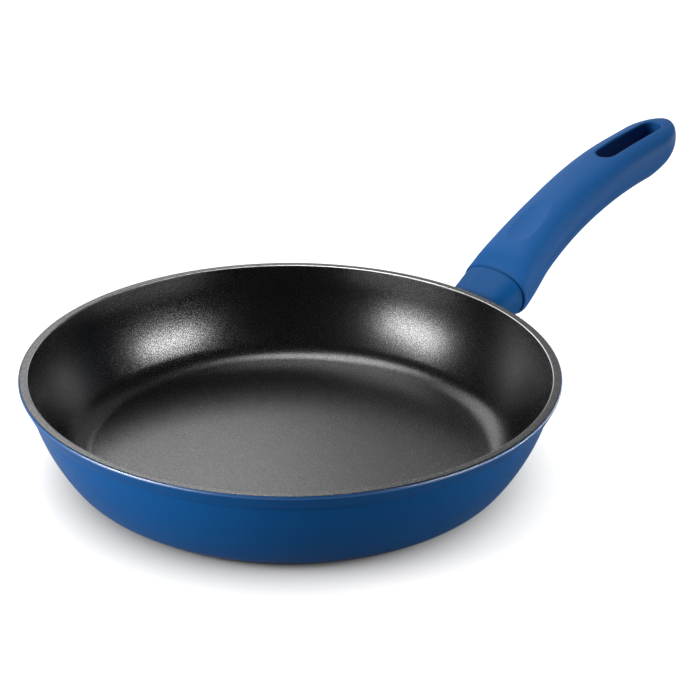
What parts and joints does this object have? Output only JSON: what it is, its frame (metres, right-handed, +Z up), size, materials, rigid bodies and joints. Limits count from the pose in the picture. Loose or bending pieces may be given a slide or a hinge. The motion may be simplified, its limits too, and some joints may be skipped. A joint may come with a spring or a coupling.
{
  "type": "non-stick frying pan",
  "caption": "Round frying pan with a black non-stick inside, a blue coated outside and an upswept moulded handle with a long hanging slot.",
  "frame": {"origin": "centre of the underside, where the pan stands on the hob", "axes": "+X along the handle from the pan towards the handle's tip, +Z up out of the pan's mouth, +Y to the left of someone who looks along +X"},
  "size_m": [0.4055, 0.24, 0.0942],
  "materials": {
    "pan_aluminium": "bare, turned on the underside",
    "nonstick_black": "sprayed fluoropolymer coating, semi-gloss with a fine speckle",
    "blue_coat": "baked enamel paint, satin",
    "base_steel": "turned in fine rings",
    "blue_collar": "matte moulded",
    "blue_handle": "soft-touch, matte",
    "fastener_steel": "bright zinc plate"
  },
  "bodies": {
    "root": {"pan_body": "pan_aluminium", "nonstick_lining": "nonstick_black", "outer_coat": "blue_coat", "base_disc": "base_steel", "handle_boss": "pan_aluminium", "flame_guard": "blue_collar", "handle_grip": "blue_handle", "handle_screw": "fastener_steel", "flat_washer": "fastener_steel", "spring_washer": "fastener_steel"}
  },
  "joints": []
}
